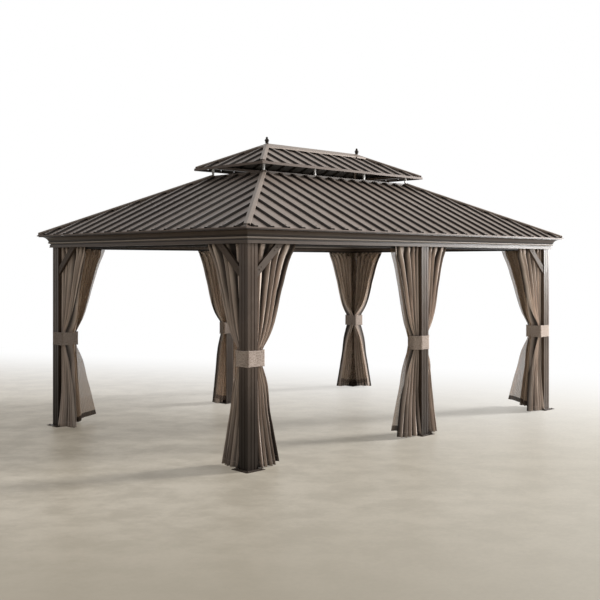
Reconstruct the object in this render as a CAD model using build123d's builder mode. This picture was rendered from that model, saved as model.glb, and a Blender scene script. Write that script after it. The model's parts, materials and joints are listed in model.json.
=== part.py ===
from build123d import *
import math
import os

# A metal garden gazebo with a two-tier ribbed hip roof, six fluted posts, a crown moulding,
# tied-back curtains and insect nets. Millimetres. +X runs along the long side, +Y along the
# short side and +Z is up. The origin is on the ground under the middle of the roof.

# Overall sizes
roof_length = 5450.0
roof_width = 3660.0
eave_overhang = 132.0
seat_gap = 0.3

# Posts and feet
post_size = 120.0
post_wall = 3.0
flute_width = 9.0
flute_depth = 3.0
flute_offset = 20.0
foot_size = 220.0
foot_thickness = 5.0
foot_hole_radius = 6.0
foot_hole_spacing = 170.0

# Crown moulding, measured outwards from the outer faces of the posts
crown_bottom = 2057.0
crown_top = 2186.7
crown_reach = 118.0
crown_lip = 30.0
crown_band = 26.0
crown_groove = 20.0
crown_bead = 41.0
crown_wall = 3.0
crown_joint = 0.25

# Corner braces
brace_low = 1745.0
brace_high = 1836.0
brace_rise = 0.916
brace_thickness = 30.0
brace_inset = 8.0

# Curtain rails
rail_height = 18.0
rail_width = 56.0
rail_centre = 90.0
rail_slot = 7.0
curtain_inset = 70.0
net_inset = 108.0

# Main roof
eave_under = 2183.2
main_rise = 678.0
vent_half_length = 1251.0
vent_half_width = 451.0
sheet_rise = 1.3
rib_rise = 24.0
side_rib_pitch = 200.0
end_rib_pitch = 208.0
rib_base = 62.0
rib_top = 38.0
cap_thickness = 2.0
cap_rise = 16.0
cap_width = 60.0
web_thickness = 1.6
hip_gap = 2.5
trim_depth = 10.0
trim_bottom = 2187.0
trim_top = 2200.0
rafter_width = 40.0
rafter_depth = 60.0

# Upper roof
upper_end_overhang = 142.0
upper_side_overhang = 138.0
ridge_half = 784.0
upper_eave_under = 2953.0
upper_rise = 279.0
upper_trim_bottom = 2951.0
upper_trim_top = 2978.0
upper_rafter_width = 30.0
upper_rafter_depth = 30.0
upper_cap_width = 58.0
ridge_cap_width = 186.0
ridge_end_half = 105.0

# Vent frame between the two roofs
ring_half_width = 25.0
ring_wall = 2.5
ring_height = 50.0
upper_ring_height = 30.0
bracket_size = 20.0
bracket_wall = 2.5
bracket_spread = 430.0
bracket_setback = 6.0
vent_lip = 3.0
vent_lip_rise = 44.0

# Soft furnishings
curtain_top_width = 515.0
curtain_tie_width = 84.0
curtain_foot_width = 335.0
middle_top_width = 415.0
middle_foot_width = 370.0
curtain_thickness = 60.0
curtain_foot_gap = 22.0
net_thickness = 10.0
net_foot_gap = 14.0
net_extra = 25.0
tie_bottom = 931.0
tie_top = 1091.0
tie_thickness = 3.0
tie_gap = 0.5
tie_reach = 212.0
tie_setback = 38.0

# Finials
finial_radius = 26.0
finial_height = 75.0

# Derived positions
upper_half_length = vent_half_length + upper_end_overhang
upper_half_width = vent_half_width + upper_side_overhang
post_x = roof_length / 2 - eave_overhang
post_y = roof_width / 2 - eave_overhang
post_centre_x = post_x - post_size / 2
post_centre_y = post_y - post_size / 2
post_top = crown_bottom - seat_gap
side_slope = main_rise / (roof_width / 2 - vent_half_width)
end_slope = main_rise / (roof_length / 2 - vent_half_length)
upper_side_slope = upper_rise / upper_half_width
upper_end_slope = upper_rise / (upper_half_length - ridge_half)
ring_x = vent_half_length + ring_half_width
ring_y = vent_half_width + ring_half_width
ring_top = eave_under + side_slope * (roof_width / 2 - ring_y) - seat_gap
upper_ring_top = upper_eave_under + upper_side_slope * (upper_half_width - ring_y) - seat_gap
rail_top = crown_bottom - seat_gap
rail_bottom = rail_top - rail_height
low_cut = crown_bottom / 2
cut_margin = crown_reach
tall = 2 * (upper_eave_under - crown_bottom) + upper_eave_under

os.makedirs("parts", exist_ok=True)


def hip_block(half_length, half_width, end, side, eave):
    """A solid that fills the room under a hip roof whose faces start at the given eave height."""
    base = low_cut
    peak = eave + side * half_width
    with BuildPart() as block:
        with BuildSketch(Plane.YZ):
            with BuildLine():
                Polyline(
                    (-half_width, base),
                    (half_width, base),
                    (half_width, eave),
                    (0, peak),
                    (-half_width, eave),
                    close=True,
                )
            make_face()
        extrude(amount=half_length, both=True)
        run = min(half_length - 1.0, (peak - eave + 50.0) / end)
        with BuildSketch(Plane.XZ):
            with BuildLine():
                Polyline(
                    (-half_length, base),
                    (half_length, base),
                    (half_length, eave),
                    (half_length - run, eave + end * run),
                    (run - half_length, eave + end * run),
                    (-half_length, eave),
                    close=True,
                )
            make_face()
        extrude(amount=half_width, both=True, mode=Mode.INTERSECT)
    return block.part


def main_block(rise):
    """The room under the main roof, its surface raised by the given height."""
    return hip_block(
        roof_length / 2, roof_width / 2, end_slope, side_slope, eave_under + rise
    )


def upper_block(rise):
    """The room under the upper roof, its surface raised by the given height."""
    return hip_block(
        upper_half_length,
        upper_half_width,
        upper_end_slope,
        upper_side_slope,
        upper_eave_under + rise,
    )


def column(points, low, high):
    """An upright prism over a plan outline."""
    with BuildPart() as prism:
        with BuildSketch(Plane.XY.offset(low)):
            with BuildLine():
                Polyline(*points, close=True)
            make_face()
        extrude(amount=high - low)
    return prism.part


def box_column(half_length, half_width, low, high):
    """An upright block centred on the origin."""
    return column(
        [
            (-half_length, -half_width),
            (half_length, -half_width),
            (half_length, half_width),
            (-half_length, half_width),
        ],
        low,
        high,
    )


def sheet_room(half_length, half_width):
    """The room above a roof, inside its eave trims."""
    inset = trim_depth + seat_gap
    return box_column(
        half_length - inset, half_width - inset, low_cut - cut_margin, tall + cut_margin
    )


def strip(start, finish, width, low=low_cut, high=tall):
    """An upright slab along a plan line."""
    run_x = finish[0] - start[0]
    run_y = finish[1] - start[1]
    length = math.hypot(run_x, run_y)
    across_x = -run_y / length * width / 2
    across_y = run_x / length * width / 2
    return column(
        [
            (start[0] + across_x, start[1] + across_y),
            (start[0] - across_x, start[1] - across_y),
            (finish[0] - across_x, finish[1] - across_y),
            (finish[0] + across_x, finish[1] + across_y),
        ],
        low,
        high,
    )


def in_two_ends(piece, plane):
    """The piece and its mirror image."""
    with BuildPart() as pair:
        add(piece)
        mirror(about=plane)
    return pair.part


def save(piece, name):
    """Label one node and write its file."""
    piece.label = name
    export_step(piece, "parts/" + name + ".step")


# Posts: hollow square tubes with two flutes on each face
def post(centre_x, centre_y):
    with BuildPart() as tube:
        with BuildSketch(Plane.XY.offset(foot_thickness + seat_gap)):
            with Locations((centre_x, centre_y)):
                Rectangle(post_size, post_size)
                with PolarLocations(post_size / 2, 4):
                    with Locations((0, flute_offset), (0, -flute_offset)):
                        Rectangle(flute_depth * 2, flute_width, mode=Mode.SUBTRACT)
                Rectangle(
                    post_size - 2 * flute_depth - 2 * post_wall,
                    post_size - 2 * flute_depth - 2 * post_wall,
                    mode=Mode.SUBTRACT,
                )
        extrude(amount=post_top - foot_thickness - seat_gap)
    return tube.part


save(post(-post_centre_x, -post_centre_y), "post_front_left")
save(post(0, -post_centre_y), "post_front_middle")
save(post(post_centre_x, -post_centre_y), "post_front_right")
save(post(-post_centre_x, post_centre_y), "post_back_left")
save(post(0, post_centre_y), "post_back_middle")
save(post(post_centre_x, post_centre_y), "post_back_right")

post_spots = [
    (-post_centre_x, -post_centre_y),
    (0, -post_centre_y),
    (post_centre_x, -post_centre_y),
    (-post_centre_x, post_centre_y),
    (0, post_centre_y),
    (post_centre_x, post_centre_y),
]

# Foot plates: one under each post, with four holes for ground anchors
with BuildPart() as foot_plates:
    with BuildSketch():
        with Locations(*post_spots):
            Rectangle(foot_size, foot_size)
            with GridLocations(foot_hole_spacing, foot_hole_spacing, 2, 2):
                Circle(foot_hole_radius, mode=Mode.SUBTRACT)
    extrude(amount=foot_thickness)
save(foot_plates.part, "foot_plates")


# Crown moulding: a hollow beam whose outer side is a lip, band, bead and cove
def crown_length(outward, half_run, plane):
    """The moulding along one side; outward turns a reach into a plan coordinate."""
    with BuildPart() as length:
        with BuildSketch(plane):
            with BuildLine():
                Polyline(
                    (outward(crown_groove), crown_bottom + 41.0),
                    (outward(crown_groove), crown_bottom + 33.0),
                    (outward(crown_band), crown_bottom + 30.0),
                    (outward(crown_band), crown_bottom + 6.0),
                    (outward(crown_lip), crown_bottom + 6.0),
                    (outward(crown_lip), crown_bottom),
                    (outward(-post_size), crown_bottom),
                    (outward(-post_size), crown_top),
                    (outward(crown_reach), crown_top),
                    (outward(crown_reach), crown_top - 9.0),
                    (outward(crown_reach - 6.0), crown_top - 9.0),
                )
                ThreePointArc(
                    (outward(crown_reach - 6.0), crown_top - 9.0),
                    (outward(57.0), crown_bottom + 104.0),
                    (outward(36.0), crown_bottom + 67.0),
                )
                Line(
                    (outward(36.0), crown_bottom + 67.0),
                    (outward(30.0), crown_bottom + 65.0),
                )
                ThreePointArc(
                    (outward(30.0), crown_bottom + 65.0),
                    (outward(crown_bead), crown_bottom + 55.0),
                    (outward(30.0), crown_bottom + 45.0),
                )
                Line(
                    (outward(30.0), crown_bottom + 45.0),
                    (outward(crown_groove), crown_bottom + 41.0),
                )
            make_face()
            with BuildLine():
                Polyline(
                    (outward(crown_wall - post_size), crown_bottom + crown_wall),
                    (outward(15.0), crown_bottom + crown_wall),
                    (outward(15.0), crown_bottom + 66.0),
                    (outward(27.0), crown_bottom + 75.0),
                    (outward(44.0), crown_bottom + 106.0),
                    (outward(76.0), crown_top - 5.0),
                    (outward(crown_wall - post_size), crown_top - crown_wall),
                    close=True,
                )
            make_face(mode=Mode.SUBTRACT)
        extrude(amount=half_run, both=True)
    return length.part


def front_reach(reach):
    return -post_y - reach


def right_reach(reach):
    return post_x + reach


mitre_out = 150.0
mitre_in = 130.0

with BuildPart() as crown_front_right:
    add(crown_length(front_reach, roof_length / 2 + 100.0, Plane.YZ))
    add(
        column(
            [
                (crown_joint, front_reach(mitre_out)),
                (right_reach(mitre_out) - crown_joint, front_reach(mitre_out)),
                (right_reach(-mitre_in) - crown_joint, front_reach(-mitre_in)),
                (crown_joint, front_reach(-mitre_in)),
            ],
            crown_bottom - cut_margin,
            crown_top + cut_margin,
        ),
        mode=Mode.INTERSECT,
    )
with BuildPart() as crown_right:
    # The XZ sketch plane looks along -Y, so its local x is still +X
    add(crown_length(right_reach, roof_width / 2 + 100.0, Plane.XZ))
    add(
        column(
            [
                (right_reach(mitre_out), front_reach(mitre_out) + crown_joint),
                (right_reach(mitre_out), -front_reach(mitre_out) - crown_joint),
                (right_reach(-mitre_in), -front_reach(-mitre_in) - crown_joint),
                (right_reach(-mitre_in), front_reach(-mitre_in) + crown_joint),
            ],
            crown_bottom - cut_margin,
            crown_top + cut_margin,
        ),
        mode=Mode.INTERSECT,
    )
crown_front = in_two_ends(crown_front_right.part, Plane.YZ)
crown_back = mirror(crown_front, about=Plane.XZ)
crown_left = mirror(crown_right.part, about=Plane.YZ)
save(crown_front, "crown_front")
save(crown_back, "crown_back")
save(crown_left, "crown_left")
save(crown_right.part, "crown_right")


# Corner braces: two at each corner post, up to the moulding
def brace_outline(origin_plane, depth):
    far_high = (post_top - brace_high) / brace_rise
    far_low = (post_top - brace_low) / brace_rise
    with BuildPart() as bar:
        with BuildSketch(origin_plane):
            with BuildLine():
                Polyline(
                    (seat_gap, brace_low),
                    (far_low, post_top),
                    (far_high, post_top),
                    (seat_gap, brace_high),
                    close=True,
                )
            make_face()
        extrude(amount=depth)
    return bar.part


brace_front_plane = Plane(
    origin=(-post_x + post_size, -post_y + brace_inset + brace_thickness, 0),
    x_dir=(1, 0, 0),
    z_dir=(0, -1, 0),
)
brace_side_plane = Plane(
    origin=(-post_x + brace_inset, -post_y + post_size, 0),
    x_dir=(0, 1, 0),
    z_dir=(1, 0, 0),
)
with BuildPart() as braces:
    add(brace_outline(brace_front_plane, brace_thickness))
    add(brace_outline(brace_side_plane, brace_thickness))
    mirror(about=Plane.YZ)
    mirror(about=Plane.XZ)
save(braces.part, "braces")


# Curtain rails: one under the beam of each bay, with a track for curtains and one for nets
def rail_section(across):
    """Adds the rail's section to the open sketch, centred on the given inset."""
    with Locations((across(rail_centre), rail_top - rail_height / 2)):
        Rectangle(rail_width, rail_height)
    with Locations(
        (across(curtain_inset), rail_bottom + rail_height / 3),
        (across(net_inset), rail_bottom + rail_height / 3),
    ):
        Rectangle(rail_slot, rail_height, mode=Mode.SUBTRACT)


long_bay = post_x - post_size - post_size / 2 - 2 * seat_gap
end_bay = 2 * post_y - 2 * post_size - 2 * seat_gap
with BuildPart() as curtain_rails:
    with BuildSketch(Plane.YZ.offset(post_size / 2 + seat_gap)):
        rail_section(lambda inset: inset - post_y)
    extrude(amount=long_bay)
    with BuildSketch(Plane.XZ.offset(-end_bay / 2)):
        rail_section(lambda inset: inset - post_x)
    extrude(amount=end_bay)
    mirror(about=Plane.YZ)
    mirror(about=Plane.XZ)
save(curtain_rails.part, "curtain_rails")

# Main rafters: four along the hips and one in the middle of each side
with BuildPart() as rafters:
    add(
        strip(
            (-roof_length / 2, -roof_width / 2),
            (-vent_half_length, -vent_half_width),
            rafter_width,
        )
    )
    add(strip((0, -roof_width / 2), (0, 0), rafter_width))
    add(strip((-roof_length / 2, 0), (0, 0), rafter_width))
    add(
        box_column(
            roof_length / 2 - rafter_depth, roof_width / 2 - rafter_depth, low_cut, tall
        ),
        mode=Mode.INTERSECT,
    )
    add(
        box_column(
            ring_x + seat_gap, ring_y + seat_gap, low_cut - cut_margin, tall + cut_margin
        ),
        mode=Mode.SUBTRACT,
    )
    mirror(about=Plane.YZ)
    mirror(about=Plane.XZ)
    add(main_block(-seat_gap), mode=Mode.INTERSECT)
    add(main_block(-seat_gap - rafter_depth), mode=Mode.SUBTRACT)
    add(
        box_column(roof_length, roof_width, low_cut / 2, crown_top + seat_gap),
        mode=Mode.SUBTRACT,
    )
save(rafters.part, "rafters")



def ring_bars(top, height):
    """Four hollow bars round the vent opening, their top faces at the given height."""
    with BuildPart() as bars:
        with BuildSketch(Plane.YZ.offset(-ring_x)):
            with Locations((-vent_half_width, top - height / 2)):
                Rectangle(2 * ring_half_width, height)
                Rectangle(
                    2 * (ring_half_width - ring_wall),
                    height - 2 * ring_wall,
                    mode=Mode.SUBTRACT,
                )
        extrude(amount=2 * ring_x)
        short_run = vent_half_width - ring_half_width - seat_gap
        with BuildSketch(Plane.XZ.offset(-short_run)):
            with Locations((-vent_half_length, top - height / 2)):
                Rectangle(2 * ring_half_width, height)
                Rectangle(
                    2 * (ring_half_width - ring_wall),
                    height - 2 * ring_wall,
                    mode=Mode.SUBTRACT,
                )
        extrude(amount=2 * short_run)
        mirror(about=Plane.YZ)
        mirror(about=Plane.XZ)
    return bars.part


# Vent ring: four bars round the opening at the top of the main roof, each with a thin upstand
# that closes the upper ends of the ribs
lip_y = vent_half_width - seat_gap
lip_x = vent_half_length - seat_gap
lip_top = ring_top + vent_lip_rise
lip_foot = ring_top - ring_wall
short_run = vent_half_width - ring_half_width - seat_gap
with BuildPart() as vent_ring:
    add(ring_bars(ring_top, ring_height))
    with BuildSketch(Plane.XY.offset(lip_foot)):
        with Locations((0, vent_lip / 2 - lip_y), (0, lip_y - vent_lip / 2)):
            Rectangle(2 * lip_x, vent_lip)
    extrude(amount=lip_top - lip_foot)
    with BuildSketch(Plane.XY.offset(lip_foot)):
        with Locations((vent_lip / 2 - lip_x, 0), (lip_x - vent_lip / 2, 0)):
            Rectangle(vent_lip, 2 * short_run)
    extrude(amount=lip_top - lip_foot)
    with BuildSketch(Plane.XY.offset(ring_top + seat_gap)):
        with Locations((vent_lip / 2 - lip_x, 0), (lip_x - vent_lip / 2, 0)):
            Rectangle(vent_lip, 2 * (lip_y - vent_lip - seat_gap))
    extrude(amount=lip_top - ring_top - seat_gap)
save(vent_ring.part, "vent_ring")

# Vent brackets: short tubes between the two rings
bracket_y = vent_half_width - bracket_setback - bracket_size / 2
bracket_x = vent_half_length - bracket_setback - bracket_size / 2
upper_ring_bottom = upper_ring_top - upper_ring_height
with BuildPart() as vent_brackets:
    with BuildSketch(Plane.XY.offset(ring_top + seat_gap)):
        with Locations((-bracket_x, -bracket_y), (-bracket_spread, -bracket_y)):
            Rectangle(bracket_size, bracket_size)
            Rectangle(
                bracket_size - 2 * bracket_wall,
                bracket_size - 2 * bracket_wall,
                mode=Mode.SUBTRACT,
            )
    extrude(amount=upper_ring_bottom - ring_top - 2 * seat_gap)
    mirror(about=Plane.YZ)
    mirror(about=Plane.XZ)
save(vent_brackets.part, "vent_brackets")


# Roof sheets: thin ribbed panels, cut to the hips
def ribbed_sheet(plane, half_run, pitch, length, tilt):
    """A sheet with raised ribs, laid on a sloping plane and run up the slope."""
    thick = sheet_rise * math.cos(tilt)
    high = rib_rise * math.cos(tilt)
    count = int((half_run - rib_base) / pitch)
    upper = [(-half_run, thick)]
    lower = [(-half_run, 0)]
    for index in range(-count, count + 1):
        centre = index * pitch
        upper.append((centre - rib_base / 2, thick))
        upper.append((centre - rib_top / 2, thick + high))
        upper.append((centre + rib_top / 2, thick + high))
        upper.append((centre + rib_base / 2, thick))
        lower.append((centre - rib_base / 2 + thick, 0))
        lower.append((centre - rib_top / 2 + thick, high))
        lower.append((centre + rib_top / 2 - thick, high))
        lower.append((centre + rib_base / 2 - thick, 0))
    upper.append((half_run, thick))
    lower.append((half_run, 0))
    with BuildPart() as panel:
        with BuildSketch(plane):
            with BuildLine():
                Polyline(*upper, *reversed(lower), close=True)
            make_face()
        extrude(amount=length)
    return panel.part


def cut_sheet(sheet, outline):
    """The sheet inside a plan outline."""
    with BuildPart() as cut:
        add(sheet)
        add(column(outline, low_cut, tall), mode=Mode.INTERSECT)
    return cut.part


def side_plane(half_width, eave, tilt):
    return Plane(
        origin=(0, -half_width, eave),
        x_dir=(-1, 0, 0),
        z_dir=(0, math.cos(tilt), math.sin(tilt)),
    )


def end_plane(half_length, eave, tilt):
    return Plane(
        origin=(-half_length, 0, eave),
        x_dir=(0, 1, 0),
        z_dir=(math.cos(tilt), 0, math.sin(tilt)),
    )


sheet_inset = trim_depth + seat_gap


def roof_sheets(half_length, half_width, eave, side, end, top_x, top_y):
    """The front sheet and the left sheet of a hip roof that ends at the given top corner."""
    side_tilt = math.atan(side)
    end_tilt = math.atan(end)
    skew = (half_length - top_x) / (half_width - top_y)
    low_y = -half_width + sheet_inset
    low_x = -half_length + sheet_inset
    front = cut_sheet(
        ribbed_sheet(
            side_plane(half_width, eave, side_tilt),
            half_length,
            side_rib_pitch,
            half_width / math.cos(side_tilt),
            side_tilt,
        ),
        [
            (-half_length + sheet_inset * skew + hip_gap, low_y),
            (half_length - sheet_inset * skew - hip_gap, low_y),
            (top_x - hip_gap, -top_y - hip_gap * (top_y == 0)),
            (hip_gap - top_x, -top_y - hip_gap * (top_y == 0)),
        ],
    )
    left_outline = [
        (low_x, -half_width + sheet_inset / skew + hip_gap),
        (low_x, half_width - sheet_inset / skew - hip_gap),
    ]
    if top_y == 0:
        left_outline.append((-top_x - hip_gap, 0))
    else:
        left_outline.append((-top_x, top_y - hip_gap))
        left_outline.append((-top_x, hip_gap - top_y))
    left = cut_sheet(
        ribbed_sheet(
            end_plane(half_length, eave, end_tilt),
            half_width,
            end_rib_pitch,
            (half_length - top_x) / math.cos(end_tilt) + 40.0,
            end_tilt,
        ),
        left_outline,
    )
    return front, left


main_front, main_left = roof_sheets(
    roof_length / 2,
    roof_width / 2,
    eave_under,
    side_slope,
    end_slope,
    vent_half_length,
    vent_half_width,
)
save(main_front, "roof_front")
save(mirror(main_front, about=Plane.XZ), "roof_back")
save(main_left, "roof_left")
save(mirror(main_left, about=Plane.YZ), "roof_right")

upper_front, upper_left = roof_sheets(
    upper_half_length,
    upper_half_width,
    upper_eave_under,
    upper_side_slope,
    upper_end_slope,
    ridge_half,
    0,
)
save(upper_front, "upper_roof_front")
save(mirror(upper_front, about=Plane.XZ), "upper_roof_back")
save(upper_left, "upper_roof_left")
save(mirror(upper_left, about=Plane.YZ), "upper_roof_right")


# Eave trims: square bars along the lower edges of both roofs
def trim_bars(half_length, half_width, low, high):
    """Four bars round an eave."""
    with BuildPart() as bars:
        with BuildSketch(Plane.XY.offset(low)):
            with Locations((0, trim_depth / 2 - half_width), (0, half_width - trim_depth / 2)):
                Rectangle(2 * half_length, trim_depth)
            with Locations((trim_depth / 2 - half_length, 0), (half_length - trim_depth / 2, 0)):
                Rectangle(trim_depth, 2 * (half_width - trim_depth - seat_gap))
        extrude(amount=high - low)
    return bars.part


with BuildPart() as eave_trims:
    add(trim_bars(roof_length / 2, roof_width / 2, trim_bottom, trim_top))
    add(
        trim_bars(upper_half_length, upper_half_width, upper_trim_bottom, upper_trim_top)
    )
save(eave_trims.part, "eave_trims")

# Hip and ridge caps: folded channels on the rib tops. A thin web stands under each one, in the
# gap between the sheets, so that no light comes through the ribs.
cap_under = sheet_rise + rib_rise + seat_gap
cap_top = cap_under + cap_rise


def ridge_plan(margin):
    """The plan of the ridge cap: a strip with a square at each end."""
    with BuildPart() as plan:
        with BuildSketch(Plane.XY.offset(low_cut - cut_margin)):
            Rectangle(2 * ridge_half + ridge_end_half, ridge_cap_width + 2 * margin)
            with Locations((-ridge_half, 0), (ridge_half, 0)):
                Rectangle(2 * (ridge_end_half + margin), 2 * (ridge_end_half + margin))
        extrude(amount=tall)
    return plan.part


def channel(body, core, web, block):
    """A channel that follows a roof: its outer plan, its hollow's plan and its web's plan."""
    with BuildPart() as hollow:
        add(core)
        add(block(cap_top - cap_thickness), mode=Mode.INTERSECT)
    with BuildPart() as fin:
        add(web)
        add(block(cap_top - cap_thickness / 2), mode=Mode.INTERSECT)
        add(block(0), mode=Mode.SUBTRACT)
    with BuildPart() as cap:
        add(body)
        add(block(cap_top), mode=Mode.INTERSECT)
        add(block(cap_under), mode=Mode.SUBTRACT)
        add(hollow.part, mode=Mode.SUBTRACT)
        add(fin.part)
    return cap.part


def beyond(corner, top, run):
    """A plan point past a hip's lower corner, in line with its top end."""
    share = 1 + run / math.hypot(corner[0] - top[0], corner[1] - top[1])
    return (
        top[0] + (corner[0] - top[0]) * share,
        top[1] + (corner[1] - top[1]) * share,
    )


main_corner = (-roof_length / 2, -roof_width / 2)
main_top = (-vent_half_length, -vent_half_width)
main_hip = (beyond(main_corner, main_top, cap_width), beyond(main_top, main_corner, cap_width))
upper_corner = (-upper_half_length, -upper_half_width)
upper_top = (-ridge_half, 0)
upper_foot = beyond(upper_corner, upper_top, upper_cap_width)
with BuildPart() as main_caps:
    add(
        channel(
            strip(*main_hip, cap_width),
            strip(*main_hip, cap_width - 2 * cap_thickness),
            strip(*main_hip, web_thickness),
            main_block,
        )
    )
    add(
        box_column(
            vent_half_length, vent_half_width, low_cut - cut_margin, tall + cut_margin
        ),
        mode=Mode.SUBTRACT,
    )
    add(sheet_room(roof_length / 2, roof_width / 2), mode=Mode.INTERSECT)
with BuildPart() as upper_caps:
    add(
        channel(
            strip(upper_foot, upper_top, upper_cap_width),
            strip(upper_foot, upper_top, upper_cap_width - 2 * cap_thickness),
            strip(upper_foot, upper_top, web_thickness),
            upper_block,
        )
    )
    add(ridge_plan(seat_gap), mode=Mode.SUBTRACT)
    add(sheet_room(upper_half_length, upper_half_width), mode=Mode.INTERSECT)
with BuildPart() as hip_caps:
    add(main_caps.part)
    add(upper_caps.part)
    mirror(about=Plane.YZ)
    mirror(about=Plane.XZ)
save(hip_caps.part, "hip_caps")

# Ridge cap: a channel with a small pyramid at each end
with BuildPart() as hip_webs:
    add(strip(upper_foot, upper_top, web_thickness))
    mirror(about=Plane.YZ)
    mirror(about=Plane.XZ)
    add(strip((-ridge_half, 0), (ridge_half, 0), web_thickness))
    add(ridge_plan(0), mode=Mode.INTERSECT)
save(
    channel(ridge_plan(0), ridge_plan(-cap_thickness), hip_webs.part, upper_block),
    "ridge_cap",
)

# Upper frame: the ring, four hip rafters and a ridge beam that carry the upper roof
with BuildPart() as upper_rafters:
    add(strip((-upper_half_length, -upper_half_width), (-ridge_half, 0), upper_rafter_width))
    add(
        box_column(
            ring_x - ring_wall, ring_y - ring_wall, low_cut - cut_margin, tall + cut_margin
        ),
        mode=Mode.INTERSECT,
    )
    half_beam = upper_rafter_width / 2 + seat_gap
    add(
        box_column(roof_length, half_beam, low_cut - cut_margin, tall + cut_margin),
        mode=Mode.SUBTRACT,
    )
    mirror(about=Plane.YZ)
    mirror(about=Plane.XZ)
    add(upper_block(-seat_gap), mode=Mode.INTERSECT)
    add(upper_block(-seat_gap - upper_rafter_depth), mode=Mode.SUBTRACT)
    add(
        box_column(roof_length, roof_width, low_cut / 2, upper_ring_top + seat_gap),
        mode=Mode.SUBTRACT,
    )
with BuildPart() as ridge_beam:
    add(
        box_column(
            ridge_half + upper_rafter_width,
            upper_rafter_width / 2,
            low_cut - cut_margin,
            tall,
        )
    )
    add(upper_block(-seat_gap), mode=Mode.INTERSECT)
    add(upper_block(-seat_gap - upper_rafter_depth - 10.0), mode=Mode.SUBTRACT)
with BuildPart() as upper_frame:
    add(ring_bars(upper_ring_top, upper_ring_height))
    add(upper_rafters.part)
    add(ridge_beam.part)
save(upper_frame.part, "upper_frame")

# Finials: one turned knob with a small ball on top at each end of the ridge
finial_base = upper_eave_under + upper_rise + cap_top + seat_gap
finial_foot = finial_radius * 0.8
finial_neck = finial_radius * 0.42
finial_tip = finial_radius * 0.16
finial_top = finial_base + finial_height
with BuildPart() as finial:
    with BuildSketch(Plane.XZ):
        with BuildLine():
            Line((0, finial_base), (finial_foot, finial_base))
            Line((finial_foot, finial_base), (finial_foot, finial_base + finial_height * 0.08))
            Spline(
                (finial_foot, finial_base + finial_height * 0.08),
                (finial_radius * 0.72, finial_base + finial_height * 0.18),
                (finial_radius, finial_base + finial_height * 0.40),
                (finial_radius * 0.74, finial_base + finial_height * 0.63),
                (finial_neck, finial_base + finial_height * 0.74),
            )
            Spline(
                (finial_neck, finial_base + finial_height * 0.74),
                (finial_radius * 0.52, finial_base + finial_height * 0.87),
                (finial_tip, finial_top),
            )
            Line((finial_tip, finial_top), (0, finial_top))
            Line((0, finial_top), (0, finial_base))
        make_face()
    revolve(axis=Axis.Z)
with BuildPart() as finials:
    with Locations((-ridge_half, 0), (ridge_half, 0)):
        add(finial.part)
save(finials.part, "finials")


# Curtains and nets: slim closed solids that stand in for gathered cloth
def drape(plane, top_width, tie_width, foot_width, low, thickness):
    """A hanging drawn in at the tie band, drawn from the side of a post outwards."""
    with BuildPart() as cloth:
        with BuildSketch(plane):
            with BuildLine():
                Polyline(
                    (1.0, rail_bottom - seat_gap),
                    (top_width, rail_bottom - seat_gap),
                    (tie_width, tie_top + 20.0),
                    (tie_width, tie_bottom - 20.0),
                    (foot_width, low),
                    (1.0, low),
                    close=True,
                )
            make_face()
        extrude(amount=thickness)
    return cloth.part


def front_plane(left_edge, inset, thickness, heading):
    """A plane on the front wall from a post face, heading +1 to the right or -1 to the left."""
    near = -post_y + inset - thickness / 2
    if heading > 0:
        return Plane(origin=(left_edge, near + thickness, 0), x_dir=(1, 0, 0), z_dir=(0, -1, 0))
    return Plane(origin=(left_edge, near, 0), x_dir=(-1, 0, 0), z_dir=(0, 1, 0))


def left_plane(inset, thickness):
    """A plane on the left wall from the front corner post's back face."""
    near = -post_x + inset - thickness / 2
    return Plane(origin=(near, -post_y + post_size, 0), x_dir=(0, 1, 0), z_dir=(1, 0, 0))


curtain_widths = (curtain_top_width, curtain_tie_width, curtain_foot_width)
net_widths = (
    curtain_top_width + net_extra,
    curtain_tie_width,
    curtain_foot_width + net_extra,
)
middle_widths = (middle_top_width, curtain_tie_width, middle_foot_width)
middle_net_widths = (
    middle_top_width + net_extra,
    curtain_tie_width,
    middle_foot_width + net_extra,
)


def hang(plane, widths, low, thickness):
    return drape(plane, widths[0], widths[1], widths[2], low, thickness)


corner_edge = -post_x + post_size
corner_curtain = hang(
    front_plane(corner_edge, curtain_inset, curtain_thickness, 1),
    curtain_widths,
    curtain_foot_gap,
    curtain_thickness,
)
side_curtain = hang(
    left_plane(curtain_inset, curtain_thickness),
    curtain_widths,
    curtain_foot_gap,
    curtain_thickness,
)
middle_curtain = hang(
    front_plane(-post_size / 2, curtain_inset, curtain_thickness, -1),
    middle_widths,
    curtain_foot_gap,
    curtain_thickness,
)
with BuildPart() as corner_pair:
    add(corner_curtain)
    add(side_curtain)
middle_pair = in_two_ends(middle_curtain, Plane.YZ)
right_pair = mirror(corner_pair.part, about=Plane.YZ)
save(corner_pair.part, "curtains_front_left")
save(middle_pair, "curtains_front_middle")
save(right_pair, "curtains_front_right")
save(mirror(corner_pair.part, about=Plane.XZ), "curtains_back_left")
save(mirror(middle_pair, about=Plane.XZ), "curtains_back_middle")
save(mirror(right_pair, about=Plane.XZ), "curtains_back_right")

with BuildPart() as nets:
    add(
        hang(
            front_plane(corner_edge, net_inset, net_thickness, 1),
            net_widths,
            net_foot_gap,
            net_thickness,
        )
    )
    add(
        hang(
            left_plane(net_inset, net_thickness),
            net_widths,
            net_foot_gap,
            net_thickness,
        )
    )
    add(
        hang(
            front_plane(-post_size / 2, net_inset, net_thickness, -1),
            middle_net_widths,
            net_foot_gap,
            net_thickness,
        )
    )
    mirror(about=Plane.YZ)
    mirror(about=Plane.XZ)
save(nets.part, "nets")


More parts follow.
